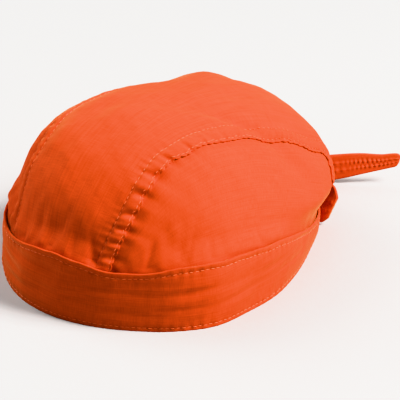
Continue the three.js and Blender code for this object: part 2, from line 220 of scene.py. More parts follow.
# Creases in the cloth, in the same columns
FINE_CREASES = [
    (130, 70, 118, 9, 0.9, -0.006),
    (117, 62, 100, 8, 0.8, -0.006),
    (135, 52, 25, 8, 1.1, -0.005),
    (128, 57, 20, 7, 1.0, -0.004),
    (52, 30, 70, 6, 1.2, -0.005),
    (60, 29, 80, 5, 1.3, -0.004),
    (36, 27, 75, 5, 1.2, -0.007),
    (17, 36, 78, 16, 5.5, -0.02),
    (14, 27, 100, 7, 1.3, -0.012),
    (6, 28, 85, 6, 1.2, -0.01),
    (-1, 29, 80, 8, 1.4, -0.011),
    (-11, 28, 95, 7, 1.5, -0.009),
    (-20, 28, 85, 6, 1.4, -0.007),
    (100, 26, 60, 6, 1.3, -0.004),
    (84, 27, 95, 6, 1.4, -0.004),
    (-40, 28, 100, 7, 1.5, -0.005),
    (-75, 28, 80, 7, 1.4, -0.005),
    (-110, 24, 95, 7, 1.4, -0.005),
    (165, 40, 60, 9, 1.3, -0.006),
    (-165, 30, 110, 9, 1.4, -0.006),
    (-150, 60, 40, 8, 1.2, -0.005),
]

# Deep pinches across the left seam's strip: degrees along, then depth and half-width in
# millimetres. Shallow ones follow: ranges of their spacing, depth and half-width
DEEP_PINCHES = [
    (28, 1.6, 2.2), (33.5, 1.2, 1.7), (38.7, 2, 1.8), (44.4, 2.2, 1.9), (51.8, 3.2, 2.4),
    (59.8, 3.6, 2.6), (67.5, 1.5, 1.8), (76, 1.3, 1.8),
]
PINCH_SPACING = (6.5, 11)
PINCH_DEPTHS = (0.35, 0.75)
PINCH_HALF_WIDTHS = (1.6, 2.1)

# Long soft creases on the band: degrees around, share of its height, slope, half-sizes in
# millimetres, and depth in millimetres
BAND_CREASES = [
    (-6, 0.74, 0.03, 26, 3.4, -1.5),
    (18, 0.66, -0.05, 24, 3.4, -1.3),
    (-26, 0.55, -0.06, 22, 2.6, -0.8),
    (30, 0.8, 0.05, 18, 2.2, -0.8),
    (8, 0.42, 0.05, 24, 2.4, -0.8),
    (28, 0.3, -0.05, 24, 2.8, -0.7),
    (-22, 0.28, 0.08, 22, 2.6, -0.7),
    (52, 0.6, 0.06, 24, 2.4, -0.7),
    (46, 0.35, -0.04, 20, 2, -0.5),
    (72, 0.4, 0.05, 22, 2.2, -0.6),
    (86, 0.62, -0.05, 20, 2, -0.5),
    (104, 0.5, -0.06, 18, 1.8, -0.5),
    (-70, 0.62, 0.05, 26, 2.6, -0.7),
    (-88, 0.3, -0.05, 20, 2.2, -0.6),
    (-105, 0.5, -0.04, 24, 2.4, -0.6),
]

# Free ends: length, heading from the wearer's left and bow, then the shares of the tie's width
# that the width and the height of the middle line take along it
UPPER_END = {
    "length": 79 * MM, "heading": 40, "bow": 0.03, "skew": 0.5 * MM, "tilt": 0.2,
    "width": [(0, 0.75), (0.14, 0.85), (0.3, 0.98), (0.47, 1), (0.68, 0.8), (0.85, 0.56),
              (0.93, 0.5), (0.98, 0.42), (1, 0.2)],
    "middle": [(0, 0.7), (0.14, 0.64), (0.3, 0.66), (0.47, 0.72), (0.68, 0.88), (0.85, 0.97),
               (0.93, 1.05), (0.98, 1.09), (1, 1.11)],
}
LOWER_END = {
    "length": 64 * MM, "heading": -17.5, "bow": 0.11, "skew": 0.4 * MM, "tilt": 0.5,
    "width": [(0, 0.9), (0.3, 1.05), (0.7, 1.2), (0.9, 1.3), (0.96, 1.15), (1, 0.75)],
    "middle": [(0, 0.7), (0.3, 0.72), (0.7, 0.75), (0.9, 0.78), (0.96, 0.78), (1, 0.78)],
}

# The photograph's camera, seen from the rim's middle
VIEW_AROUND = math.radians(40)
VIEW_UP = math.radians(29)
VIEW_DISTANCE = 1.1
AIM_RIGHT = 24.3 * MM
AIM_UP = 30.6 * MM
VIEW_LENS = 168
VIEW_FILM = 36

# Colours of the cloth where it is dyed darker and lighter at random, and of the thread. The ties'
# pair is the cloth's pair painted about 5% lighter, as painted light for the shade the ties lie in
# behind the cap.
COTTON_TONES = ((0.4, 0.064, 0.015, 1), (0.54, 0.09, 0.021, 1))
TIE_TONES_PAINTED_LIGHTER = ((0.42, 0.067, 0.015, 1), (0.56, 0.094, 0.021, 1))
THREAD_TONES = ((0.72, 0.15, 0.04, 1), (0.85, 0.25, 0.08, 1))

# Studio: floor, world and lamps with their places, sizes and powers
FLOOR_HALF_WIDTH = 4
FLOOR_TONE = (0.45, 0.45, 0.45, 1)
LAMP_WHITE = (1, 0.99, 0.98)
WORLD_LIGHT = 0.12
LAMPS = [("key", (0.92, 0.34, 1.15), 0.6, 70), ("fill", (-1.2, -0.25, 0.95), 1, 36)]
VIEW_GAMMA = 0.8


def from_table(table, at):
    """A table's value at a place, on a smooth curve through its rows of place and value"""
    place, value = np.array(table, float).T
    x = np.clip(at, place[0], place[-1])
    row = np.clip(np.searchsorted(place, x) - 1, 0, len(place) - 2)
    before = np.maximum(np.arange(len(place)) - 1, 0)
    after = np.minimum(np.arange(len(place)) + 1, len(place) - 1)
    slope = (value[after] - value[before]) / (place[after] - place[before])
    width = place[row + 1] - place[row]
    s = (x - place[row]) / width
    ease = s * s * (3 - 2 * s)
    swing = s * (1 - s) * ((1 - s) * slope[row] - s * slope[row + 1])
    return value[row] + (value[row + 1] - value[row]) * ease + swing * width


def smooth(value, low, high):
    s = np.clip((value - low) / (high - low), 0, 1)
    return s * s * (3 - 2 * s)


def blend(start, end, share):
    return start + (end - start) * share


def bell(value):
    """A rounded hump, 1 in its middle and fading beyond one half-width"""
    return np.exp(-(value ** 2))


def aim_around(around, up):
    """Directions from the middle of the head opening, by degrees around and up"""
    turn, rise = np.radians(around), np.radians(up)
    level = np.cos(rise)
    return np.stack([np.sin(turn) * level, -np.cos(turn) * level, np.sin(rise) + 0 * turn], -1)


def aim_along(along, aside):
    """Directions by degrees along the middle plane from the front, and aside from it"""
    turn, lean = np.radians(along), np.radians(aside)
    upright = np.cos(lean)
    return np.stack([np.sin(lean) + 0 * turn, -np.cos(turn) * upright, np.sin(turn) * upright], -1)


def around_of(aim):
    return np.degrees(np.arctan2(aim[..., 0], -aim[..., 1]))


def unit(vectors):
    return vectors / np.maximum(np.linalg.norm(vectors, axis=-1, keepdims=True), 1e-12)


def ripple(points, size, seed):
    """A soft random swell through space, from seven seeded waves about one size long"""
    random = np.random.default_rng(seed)
    ways = unit(random.normal(size=(7, 3))) * (2 * math.pi / size)
    ways *= random.uniform(0.7, 1.5, (7, 1))
    return np.sin(points @ ways.T + random.uniform(0, 2 * math.pi, 7)).sum(-1) / math.sqrt(7)


def uneven_wave(length, pitch, seed):
    """Waves along a line of stitches that swell, fade and drift in pitch"""
    drift = 2.1 * np.sin(length / (2.3 * pitch) + seed) + 1.3 * np.sin(length / (1.1 * pitch))
    swell = 0.65 + 0.35 * np.sin(length / (1.7 * pitch) + 2 * seed)
    return swell * np.sin(2 * math.pi * length / pitch + drift)


def band_top(around):
    return BAND_HEIGHT * from_table(BAND_HEIGHTS, np.abs(around))


def band_ledge(around):
    return np.maximum(band_top(around) - BAND_TUCK, TIE_FROM_FLOOR)


def band_form(around, height):
    foot, top = from_table(BAND_FEET, around), from_table(BAND_TOPS, around)
    return HEAD_HALF_WIDTH * blend(foot, top, np.clip(height / band_top(around), 0, 1))


def rim_share(aim, inset):
    half_length = np.where(aim[..., 1] < 0, HEAD_FRONT, HEAD_BACK) - inset
    across = (np.abs(aim[..., 0]) / (HEAD_HALF_WIDTH - inset)) ** HEAD_SQUARENESS
    lengthways = (np.abs(aim[..., 1]) / half_length) ** HEAD_SQUARENESS
    return np.maximum((across + lengthways) ** (1 / HEAD_SQUARENESS), 1e-3)


def form_height(aim, form):
    around, up, turned, long, wide, out = form
    centre = aim_around(np.array(around), np.array(up))
    level = aim_around(np.array(around + 90), np.array(0.0))
    facing = aim @ centre
    x = np.degrees(np.arctan2(aim @ level, facing))
    y = np.degrees(np.arctan2(aim @ np.cross(centre, level), facing))
    turn = math.radians(turned)
    lengthways = (x * math.cos(turn) + y * math.sin(turn)) / long
    crossways = (y * math.cos(turn) - x * math.sin(turn)) / wide
    lift = out * CROWN_HEIGHT * np.exp(-(lengthways ** 2) - crossways ** 2)
    return np.where(facing > 0, lift, 0)


def crown_reach(aim):
    """How far out the crown's plain outer face lies in each direction"""
    flat = rim_share(aim, BAND_CLOTH + HEM_ROOM)
    rise = np.abs(aim[..., 2]) / CROWN_HEIGHT
    dome = (flat ** CROWN_FULLNESS + rise ** CROWN_FULLNESS) ** (-1 / CROWN_FULLNESS)
    around = around_of(aim)
    top = band_top(around)
    height = dome * aim[..., 2]
    swollen = dome
    for form in CROWN_FORMS:
        low, high = SWELL_RISE if form[5] > 0 else DENT_RISE
        swollen = swollen + form_height(aim, form) * smooth(height, top + low, top + high)
    bulging = np.maximum(smooth(-around, *RIGHT_BULGE), smooth(around, *LEFT_BULGE))
    held = 1 - smooth(height, top - blend(HEM_BELOW, 0, bulging), top + HEM_ABOVE)
    level = np.maximum(np.hypot(aim[..., 0], aim[..., 1]), 1e-3)
    face = blend(swollen, 1 / flat + band_form(around, height) / level, held)
    start, full, end = SLACK_HEIGHTS
    slack = smooth(height, top + start, top + full) * (1 - smooth(height, top + full, top + end))
    return face + SLACK_OUT * slack * bell((around - SLACK_MIDDLE) / SLACK_HALF_WIDTH)


def crown_lift(aim, reach):
    """The cloth's small swells, creases and gathers over the crown's plain face"""
    spot = aim * reach[..., None]
    around = around_of(aim)
    above = spot[..., 2] - band_top(around)
    lift = sum(depth * ripple(spot, length, seed) for depth, length, seed in CROWN_SWELLS)
    lift = lift + sum(form_height(aim, crease) for crease in FINE_CREASES)
    pleats = ripple(aim_around(around, 0 * around), PLEAT_LENGTH, PLEAT_SEED)
    pleats = pleats * blend(*PLEAT_DEPTHS, smooth(around, *PLEAT_CHANGE))
    lift = lift + pleats * np.exp(-np.maximum(above, 0) / PLEAT_FADE)
    return lift * smooth(above, -1 * MM, 3 * MM)


def rim_point(around, offset, height):
    """Points on the band's outer face, moved out by an offset"""
    def outline(angle):
        aim = aim_around(angle, 0 * angle)
        return aim * (1 / rim_share(aim, 0) + band_form(angle, height))[..., None]
    forward = unit(outline(around + 0.5) - outline(around - 0.5))
    out = np.stack([forward[..., 1], -forward[..., 0], 0 * around], -1)
    point = outline(around) + out * (offset + 0 * around)[..., None]
    point[..., 2] = height
    return point


def find_hem(low, high, aim_at):
    """The first angles from low to high at which a panel has come up to its hem"""
    below, above = low, high
    for _ in range(20):
        middle = (below + above) / 2
        aim = aim_at(middle)
        inner = (crown_reach(aim) - HEM_INSIDE) * aim[..., 2]
        short = inner < band_ledge(around_of(aim)) + CLEARANCE
        below, above = np.where(short, middle, below), np.where(short, above, middle)
    return above


def seam_aside(along, side):
    return side * from_table(SEAM_EDGES[side], along)


def inside_seam(along, side, share):
    """Degrees aside of a line that runs inside the seam's edge by a share of the strip"""
    edge = seam_aside(along, side)
    width = share * from_table(STRIP_WIDTHS, along)
    return edge - side * np.degrees(width / crown_reach(aim_along(along, edge)))


def seam_ruler(side):
    """Lengths along a seam's edge, at every half degree from the front rim to the back"""
    along = np.linspace(0, 180, 361)
    aim = aim_along(along, seam_aside(along, side))
    points = aim * crown_reach(aim)[:, None]
    steps = np.linalg.norm(np.diff(points, axis=0), axis=1)
    return along, np.concatenate([[0], np.cumsum(steps)])


def seam_pinches(side):
    """Where the seam is pinched, how deep, and how wide each pinch is, along its length"""
    along, length = seam_rulers[side]
    random = np.random.default_rng(20 + side)
    deep = DEEP_PINCHES if side > 0 else []
    chosen = [(np.interp(at, along, length), depth, wide) for at, depth, wide in deep]
    place = chosen[-1][0] if chosen else length[50]
    while place < length[-20]:
        place += random.uniform(*PINCH_SPACING) * MM
        depth = random.uniform(*PINCH_DEPTHS)
        chosen.append((place, depth, random.uniform(*PINCH_HALF_WIDTHS)))
    return [(at, depth * MM, wide * MM) for at, depth, wide in chosen]


seam_rulers = {side: seam_ruler(side) for side in (1, -1)}
pinches = {side: seam_pinches(side) for side in (1, -1)}


def pinch_at(length, side, spread=1.0):
    """How deep the seam is pinched at lengths along it"""
    return sum(depth * bell((length - at) / (wide * spread)) for at, depth, wide in pinches[side])


def strip_lift(along, side, inward):
    """The felled strip's height: puffed between its two stitch rows and pinched across"""
    length = np.interp(along, *seam_rulers[side])
    width = from_table(STRIP_WIDTHS, along)
    across = np.clip((inward - EDGE_ROW) / (width - EDGE_ROW), 0, 1)
    slant = length + 0.3 * (inward - 2 * MM)
    pinch = pinch_at(slant, side)
    puff = STRIP_PUFF * np.sin(math.pi * across) ** 0.7 + 0.1 * MM * smooth(-inward, -3 * MM, 0)
    beyond = np.maximum(inward - width, 0)
    flow = blend(1.0, 0.12, smooth(across, 0.1, 0.95)) * np.exp(-beyond / (4 * MM))
    inner_row, outer_row = ROW_DEPTHS[side]
    rows = inner_row * bell((inward - width) / (0.8 * MM))
    rows = rows + outer_row * bell((inward - EDGE_ROW) / (0.7 * MM))
    waves = uneven_wave(length, STRIP_PUCKERS, side)
    fine = inner_row * waves * np.exp(-np.abs(inward - width) / (3 * MM))
    fine = fine + 0.25 * MM * waves * np.exp(-np.abs(inward - EDGE_ROW) / (2 * MM))
    edge = aim_along(along, seam_aside(along, side))
    height = crown_reach(edge) * np.sin(np.radians(along)) - band_top(around_of(edge))
    held = blend(0.25, 1.0, smooth(height, 0, 9 * MM))
    return held * (puff * np.exp(-beyond / (1 * MM)) - pinch * flow - rows + fine)


def edge_inset(along, side):
    """How far the pinches and the stitches' nicks draw the folded edge in"""
    length = np.interp(along, *seam_rulers[side])
    turn = 2 * math.pi * length / NICK_PITCH + 1.5 * np.sin(length / (9 * MM))
    nicks = (0.5 + 0.5 * np.sin(turn)) ** 3
    place, half_width, out = TURNED_FOLD
    turned = out * bell((along - place) / half_width) * (side > 0)
    deep = blend(0.75, 0.4, smooth(along, 70, 90)) * MM
    return 0.45 * pinch_at(length, side, 1.2) + deep * nicks - turned


def panel_aside(along, share, side):
    """Degrees aside of a line of the centre panel: share 0 is its middle, 1 the inner stitch
    row and 2 the folded edge"""
    row = inside_seam(along, side, 1)
    edge = seam_aside(along, side) - side * np.degrees(edge_inset(along, side) / CROWN_HEIGHT)
    return np.where(share <= 1, row * share, blend(row, edge, share - 1))


def sleeve_rows(front, back, turns=4):
    """Rows round a flat closed sleeve: the place across, how far the fold stands out beyond
    it as a share of half the wall, and the depth from 0 on the front to 1 on the back"""
    angles = np.linspace(0, math.pi, turns + 2)[1:-1]
    rows = [(place, 0.0, 0.0) for place in front]
    rows += [(front[-1], math.sin(a), (1 - math.cos(a)) / 2) for a in angles]
    rows += [(place, 0.0, 1.0) for place in back]
    rows += [(front[0], -math.sin(a), (1 + math.cos(a)) / 2) for a in angles]
    return np.array(rows + rows[:1])


def finish_piece(name, mesh, material, replaced=()):
    """Turns a bmesh into a piece that rides on the one body"""
    data = bpy.data.meshes.new(name)
    mesh.to_mesh(data)
    mesh.free()
    data.shade_smooth()
    data.materials.append(material)
    piece = bpy.data.objects.new(name, data)
    bpy.context.scene.collection.objects.link(piece)
    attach(piece, "root")
    if replaced:
        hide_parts(*replaced)
    return piece


def bent_grid(columns, rows, place, closed):
    """A grid bent into cloth. place(share along, row) gives each vertex's point, seen from the
    rim's middle, and its place on the flat cloth in millimetres."""
    mesh = bmesh.new()
    bmesh.ops.create_grid(mesh, x_segments=columns, y_segments=rows, size=0.5)
    spots = np.array([vertex.co[:2] for vertex in mesh.verts]) + 0.5
    points, cloth = place(spots[:, 0], np.rint(spots[:, 1] * rows).astype(int))
    layer = mesh.verts.layers.float_vector.new(CLOTH_PLACE)
    points = points + rim_middle
    for vertex, point, spot in zip(mesh.verts, points.tolist(), cloth.tolist()):
        vertex.co = point
        vertex[layer] = spot
    if closed:
        bmesh.ops.remove_doubles(mesh, verts=mesh.verts, dist=1e-6)
        edges = [edge for edge in mesh.edges if edge.is_boundary]
        bmesh.ops.holes_fill(mesh, edges=edges, sides=0)
    bmesh.ops.recalc_face_normals(mesh, faces=mesh.faces)
    return mesh


def centre_surface(along, share, side, depth=0.0, bulge=0.0):
    """Points of the centre panel by degrees along and share across, with the folded edge's
    bulge sideways and its depth into the wall"""
    aside = panel_aside(along, share, side)
    aim = aim_along(along, aside)
    reach = crown_reach(aim)
    inward = side * (seam_aside(along, side) - aside) * math.pi / 180 * reach
    aim = aim_along(along, aside + side * np.degrees(bulge * PANEL_CLOTH / 2 / reach))
    lift = crown_lift(aim, reach) + strip_lift(along, side, inward)
    return aim * (reach + lift - depth * PANEL_CLOTH)[..., None]


def centre_panel():
    middle = np.concatenate([np.linspace(0, 0.86, 18), np.linspace(0.9, 1, 5)])
    lap = np.linspace(1, 2, 19)[1:]
    half = np.concatenate([middle, lap])
    front = np.concatenate([-half[:0:-1], half])
    rows = sleeve_rows(front, np.linspace(2, -2, 17))
    side = np.where(rows[:, 0] < 0, -1, 1)
    shares = np.abs(rows[:, 0])

    def lines(along):
        aside = np.empty_like(along)
        for way in (1, -1):
            chosen = side == way
            aside[chosen] = panel_aside(along[chosen], shares[chosen], way)
        return aim_along(along, aside)

    start = find_hem(np.zeros(len(rows)), np.full(len(rows), 90.0), lines)
    end = find_hem(np.full(len(rows), 180.0), np.full(len(rows), 90.0), lines)

    def place(u, row):
        along = blend(start[row], end[row], u)
        points = np.empty((len(u), 3))
        for way in (1, -1):
            on = side[row] == way
            depth, bulge = rows[row[on], 2], np.abs(rows[row[on], 1])
            points[on] = centre_surface(along[on], shares[row[on]], way, depth, bulge)
        long, wide = CENTRE_FLAT
        cloth = np.stack([along * long, rows[row, 0] * wide, 0 * along], -1)
        return points, cloth

    mesh = bent_grid(CENTRE_COLUMNS, len(rows) - 1, place, closed=True)
    return finish_piece("centre_panel_cloth", mesh, orange_cotton, ["centre_panel"])


def side_surface(aim, side):
    """Points of a side panel: sunk under the lap, and drawn down where the seam is pinched"""
    along = np.degrees(np.arctan2(aim[..., 2], -aim[..., 1]))
    aside = np.degrees(np.arcsin(np.clip(aim[..., 0], -1, 1)))
    reach = crown_reach(aim)
    beyond = side * (aside - seam_aside(along, side)) * math.pi / 180 * reach
    sunk = LAP_REST * (1 - smooth(beyond, 0, SINK_WIDTH))
    length = np.interp(along, *seam_rulers[side])
    drawn = 0.55 * pinch_at(length, side, 1.5) * np.exp(-np.maximum(beyond, 0) / (5 * MM))
    fine = 0.22 * MM * uneven_wave(length, PANEL_PUCKERS, side)
    fine = fine * np.exp(-np.maximum(beyond, 0) / (4 * MM))
    return aim * (reach + crown_lift(aim, reach) - sunk - drawn + fine)[..., None]


def side_panel(name, side):
    def tucked(along):
        return aim_along(along, inside_seam(along, side, TUCK_SHARE))
    seam_start = find_hem(np.array(0.0), np.array(90.0), tucked)
    seam_end = find_hem(np.array(180.0), np.array(90.0), tucked)
    corner = side * math.degrees(LAP_WIDTH * CORNER_LAPS / HEAD_HALF_WIDTH)
    hem_start = around_of(tucked(seam_start)) + corner
    hem_end = around_of(tucked(seam_end)) - corner
    around = np.linspace(hem_start, hem_end, SIDE_COLUMNS + 1)
    hem_up = find_hem(0 * around, 0 * around + 60, lambda up: aim_around(around, up))
    hem = aim_around(around, hem_up)
    shares = np.concatenate([np.linspace(0, 0.2, 30), np.linspace(0.2, 1, 105)[1:]])

    def place(u, row):
        top = tucked(blend(seam_start, seam_end, u))
        share = shares[row][:, None]
        aim = unit(blend(top, hem[np.rint(u * SIDE_COLUMNS).astype(int)], share))
        long, wide = SIDE_FLAT
        cloth = np.stack([u * long, shares[row] * wide, 0 * u], -1)
        return side_surface(aim, side), cloth

    mesh = bent_grid(SIDE_COLUMNS, len(shares) - 1, place, closed=False)
    face = mesh.faces[0]
    if face.normal.dot(face.calc_center_median() - Vector(rim_middle)) < 0:
        bmesh.ops.reverse_faces(mesh, faces=mesh.faces)
    piece = finish_piece(f"{name}_cloth", mesh, orange_cotton, [name])
    wall = piece.modifiers.new("wall", "SOLIDIFY")
    wall.thickness = SIDE_CLOTH
    wall.offset = -1
    return piece


def band_lift(around, height):
    """Small forms of the band's outer face: creases, stitched rows and the puckers at them"""
    top = band_top(around)
    spot = rim_point(around, 0.0, height)
    length = np.radians(around) * HEAD_HALF_WIDTH
    from_top = top - height
    inside = smooth(height, 0, 5 * MM) * smooth(from_top, 0, 3 * MM)
    lift = inside * sum(deep * ripple(spot, long, seed) for deep, long, seed in BAND_SWELLS)
    for at, share, slope, long, wide, depth in BAND_CREASES:
        run = length - math.radians(at) * HEAD_HALF_WIDTH
        rise = height - share * band_top(np.array(float(at))) - slope * run
        crease = np.exp(-((run / (long * MM)) ** 2) - (rise / (wide * MM)) ** 2)
        lift = lift + inside * depth * MM * crease
    waves = uneven_wave(length, BAND_PUCKERS, 3)
    for row, form in ((from_top - TOP_ROW, TOP_ROW_FORM), (height - FOOT_ROW, FOOT_ROW_FORM)):
        lift = lift - form[0] * bell(row / (0.7 * MM))
        lift = lift + 0.22 * MM * waves * np.exp(-np.abs(row) / form[1])
    return lift + 0.35 * MM * bell(from_top / (2.4 * MM))


def band_edge_wave(around):
    """The top edge's small rise and fall between the stitches"""
    length = np.radians(around) * HEAD_HALF_WIDTH
    return 0.22 * MM * np.sin(length / (3.1 * MM) + 1.5 * np.sin(length / (17 * MM)))


def band_outside(around, share):
    """Points on the band's outer face, by degrees around and share of its height"""
    top = band_top(around)
    height = share * top + band_edge_wave(around) * share
    stage = np.clip(share * top / band_ledge(around), 0, 1)
    above = np.clip((share * top - band_ledge(around)) / BAND_TUCK, 0, 1)
    puff = BAND_PUFF * from_table([(0, 0), (0.5, 0.8), (1, 1), (1.5, 0.5), (2, 0)], stage + above)
    return rim_point(around, puff + band_lift(around, height), height)


def brow_band():
    outer = np.concatenate([np.linspace(0, 0.1, 8), np.linspace(0.1, 0.9, 34)[1:],
                            np.linspace(0.9, 1, 9)[1:]])
    count_outer, count_turn, count_inner, count_foot = len(outer), 5, 12, 6

    def place(u, row):
        around = blend(-BAND_END, BAND_END, u)
        ledge, top = band_ledge(around), band_top(around)
        face = band_outside(around, outer[np.clip(row, 0, count_outer - 1)])
        turn = np.clip((row - count_outer + 1) / (count_turn + 1), 0, 1) * math.pi
        edge = band_outside(around, 0 * around + 1)
        inward = unit(rim_point(around, -1 * MM, top) - rim_point(around, 0.0, top))
        over = edge + inward * ((1 - np.cos(turn)) / 2 * BAND_CLOTH)[:, None]
        over[:, 2] += np.sin(turn) * BAND_CLOTH / 2
        down = np.clip((row - count_outer - count_turn) / count_inner, 0, 1)
        inner = rim_point(around, -BAND_CLOTH, blend(top, ledge, down))
        under = np.clip((row - count_outer - count_turn - count_inner) / count_foot, 0, 1)
        foot = rim_point(around, -blend(BAND_CLOTH, BAND_FOOT, np.minimum(under * 3, 1)),
                         ledge * (1 - np.clip(under * 1.5 - 0.5, 0, 1)))
        points = np.where((row < count_outer)[:, None], face, over)
        points = np.where((row >= count_outer + count_turn)[:, None], inner, points)
        points = np.where((row > count_outer + count_turn + count_inner)[:, None], foot, points)
        last = (row == count_outer + count_turn + count_inner + count_foot + 1)[:, None]
        points = np.where(last, band_outside(around, 0 * around), points)
        cloth = np.stack([np.radians(around) * BAND_FLAT, points[:, 2] / MM, 0 * around], -1)
        return points, cloth

    rows = count_outer + count_turn + count_inner + count_foot + 1
    mesh = bent_grid(BAND_COLUMNS, rows, place, closed=True)
    return finish_piece("brow_band_cloth", mesh, orange_cotton, ["brow_band"])


def strap(name, columns, line, puckers):
    """A flat strap of folded cloth. line(u) gives its middle points, its widths, its outward
    sides and half of how far its lower edge lies from under its upper one."""
    rows = sleeve_rows(np.linspace(-1, 1, 25), np.linspace(1, -1, 25))

    def place(u, row):
        middle, width, out, lean = line(u)
        across, bulge, depth = rows[row].T
        length = u * puckers["length"] / MM
        tucks = 0
        for stitched in puckers["rows"]:
            near = bell((across - stitched) / 0.19)
            wave = uneven_wave(length + 7 * stitched, puckers["pitch"], 5)
            tucks = tucks + puckers["depth"] * MM * (wave * near - 0.7 * near ** 4)
        folds = puckers["folds"](u) * MM * np.cos(3 * math.pi * across + 1.2)
        flat = (1 - np.abs(across) ** 8) * (0.5 - depth) * 2
        offset = (0.5 - depth) * TIE_CLOTH + (tucks + folds) * np.where(depth < 0.5, flat, -flat)
        points = middle + out * offset[:, None] + lean * (across - 1)[:, None]
        points[:, 2] += across * width / 2 + bulge * TIE_CLOTH / 2
        half_width, behind = STRAP_FLAT
        cloth = np.stack([length, across * half_width + depth * behind, 0 * u], -1)
        return points, cloth

    mesh = bent_grid(columns, len(rows) - 1, place, closed=True)
    return finish_piece(f"{name}_cloth", mesh, tie_cotton_painted_lighter, [name])


def knot_middle():
    return np.array([0, HEAD_BACK - BAND_CLOTH + KNOT_SIZE[1] / 2 * KNOT_FLAT_SIDE,
                     KNOT_FROM_FLOOR + KNOT_SIZE[2] / 2])


def tie_line(side):
    start = BAND_END + math.degrees(CLEARANCE / HEAD_HALF_WIDTH)
    end = 180 - math.degrees(KNOT_SIZE[0] / 4 / HEAD_BACK)

    def line(u):
        around = blend(start, end, u)
        gathered = smooth(u, TIE_GATHER_START, 1)
        width = (band_top(around) - TIE_FROM_FLOOR) * blend(1, TIE_GATHER_SHARE, gathered)
        height = blend(TIE_FROM_FLOOR + width / 2, knot_middle()[2], gathered)
        middle = rim_point(side * around, TIE_CLOTH / 2 - BAND_CLOTH, height)
        out = unit(middle - rim_point(side * around, -BAND_CLOTH, height))
        return middle, width, out, 0 * middle
    return line


def end_line(shape):
    heading = math.radians(shape["heading"])
    forward = np.array([math.cos(heading), math.sin(heading), 0])
    out = np.array([-forward[1], forward[0], 0])

    def line(u):
        share = blend(0.1, 1, u)
        middle = knot_middle() + forward * (shape["length"] * share)[:, None]
        middle = middle + out * (shape["length"] * shape["bow"] * np.sin(math.pi * share))[:, None]
        middle[:, 2] = TIE_WIDTH * from_table(shape["middle"], share)
        width = TIE_WIDTH * from_table(shape["width"], share)
        lean = forward * (shape["skew"] * smooth(share, 0.5, 1))[:, None]
        lean = lean + out * (shape["tilt"] * width / 2 * smooth(share, 0.2, 0.7))[:, None]
        return middle, width, out + 0 * middle, lean
    return line


def tie_knot():
    mesh = bmesh.new()
    bmesh.ops.create_uvsphere(mesh, u_segments=128, v_segments=80, radius=1)
    balls = np.array([vertex.co[:] for vertex in mesh.verts])
    slant = math.radians(KNOT_SLANT)
    across = balls[:, 0] * math.cos(slant) + balls[:, 2] * math.sin(slant)
    along = balls[:, 2] * math.cos(slant) - balls[:, 0] * math.sin(slant)
    crease = 0.2 * bell((np.abs(across) - KNOT_WRAP) / 0.1)
    wrap = 0.035 * np.cos(across * 26) * (np.abs(across) < KNOT_WRAP)
    lobes = 0.03 * np.cos(along * 17 + 5 * across) * smooth(np.abs(across), 0.36, 0.5)
    balls *= (1 - crease + wrap + lobes)[:, None]
    balls[:, 1] = np.maximum(balls[:, 1], -KNOT_FLAT_SIDE)
    points = balls * np.array(KNOT_SIZE) / 2 * 0.99 + knot_middle() + rim_middle
    layer = mesh.verts.layers.float_vector.new(CLOTH_PLACE)
    for vertex, point, x, y in zip(mesh.verts, points.tolist(), across.tolist(), along.tolist()):
        vertex.co = point
        vertex[layer] = (x * KNOT_FLAT, y * KNOT_FLAT, 0)
    bmesh.ops.recalc_face_normals(mesh, faces=mesh.faces)
    return finish_piece("tie_knot_cloth", mesh, tie_cotton_painted_lighter, ["tie_knot"])


def stitch_row(mesh, points, lifted, stitch):
    """Stitches laid end to end along a line of points on the cloth. lifted are the same points
    a little above it."""
    steps = np.linalg.norm(np.diff(points, axis=0), axis=1)
    length = np.concatenate([[0], np.cumsum(steps)])
    pitch, thread_long, thread_thick = stitch

    def at(table, place):
        return np.array([np.interp(place, length, table[:, axis]) for axis in range(3)])

    for start in np.arange(pitch / 2, length[-1] - pitch, pitch):
        middle = at(points, start)
        ahead = Vector(at(points, start + thread_long / 2) - at(points, start - thread_long / 2))
        up = Vector(at(lifted, start) - middle).normalized()
        ahead = (ahead - up * ahead.dot(up)).normalized()
        turn = Matrix((ahead, up.cross(ahead), up)).transposed().to_4x4()
        scale = Matrix.Diagonal((thread_long / 2, thread_thick / 2, thread_thick * 0.45, 1))
        spot = Matrix.Translation(Vector(middle + rim_middle) + up * thread_thick * 0.25)
        laid = spot @ turn @ scale
        bmesh.ops.create_uvsphere(mesh, u_segments=8, v_segments=5, radius=1, matrix=laid)


def seam_stitches(side):
    mesh = bmesh.new()
    along = np.linspace(*SEAM_STITCHED, 1400)
    for share in (2 - EDGE_ROW / from_table(STRIP_WIDTHS, along), np.ones(len(along))):
        points = centre_surface(along, share, side)
        points_up = points + unit(points) * MM
        seen = points[:, 2] > band_top(around_of(points)) + 0.5 * MM
        stitch_row(mesh, points[seen], points_up[seen], PANEL_STITCH)
    return mesh


def band_stitches():
    mesh = bmesh.new()
    around = np.linspace(-BAND_END + 1, BAND_END - 1, 2400)
    top = band_top(around)
    for share in (1 - TOP_ROW / top, FOOT_ROW / top):
        points = band_outside(around, share)
        away = rim_point(around, MM, points[:, 2]) - rim_point(around, 0.0, points[:, 2])
        stitch_row(mesh, points, points + away, PANEL_STITCH)
    return mesh


def strap_stitches(mesh, line, rows, span):
    u = np.linspace(span[0], span[1], 300)
    middle, width, out, lean = line(u)
    for stitched in rows:
        for way in (1, -1):
            points = middle + out * (way * TIE_CLOTH * 0.42) + lean * (stitched - 1)
            points[:, 2] += stitched * width / 2
            stitch_row(mesh, points, points + out * way * MM, TIE_STITCH)


def group_socket(group, name, kind, way, value=None):
    socket = group.interface.new_socket(name=name, in_out=way, socket_type=kind)
    if value is not None:
        socket.default_value = value


def math_node(nodes, links, operation, *values):
    node = nodes.new("ShaderNodeMath")
    node.operation = operation
    for socket, value in zip(node.inputs, values):
        if isinstance(value, (int, float)):
            socket.default_value = value
        else:
            links.new(value, socket)
    return node.outputs[0]


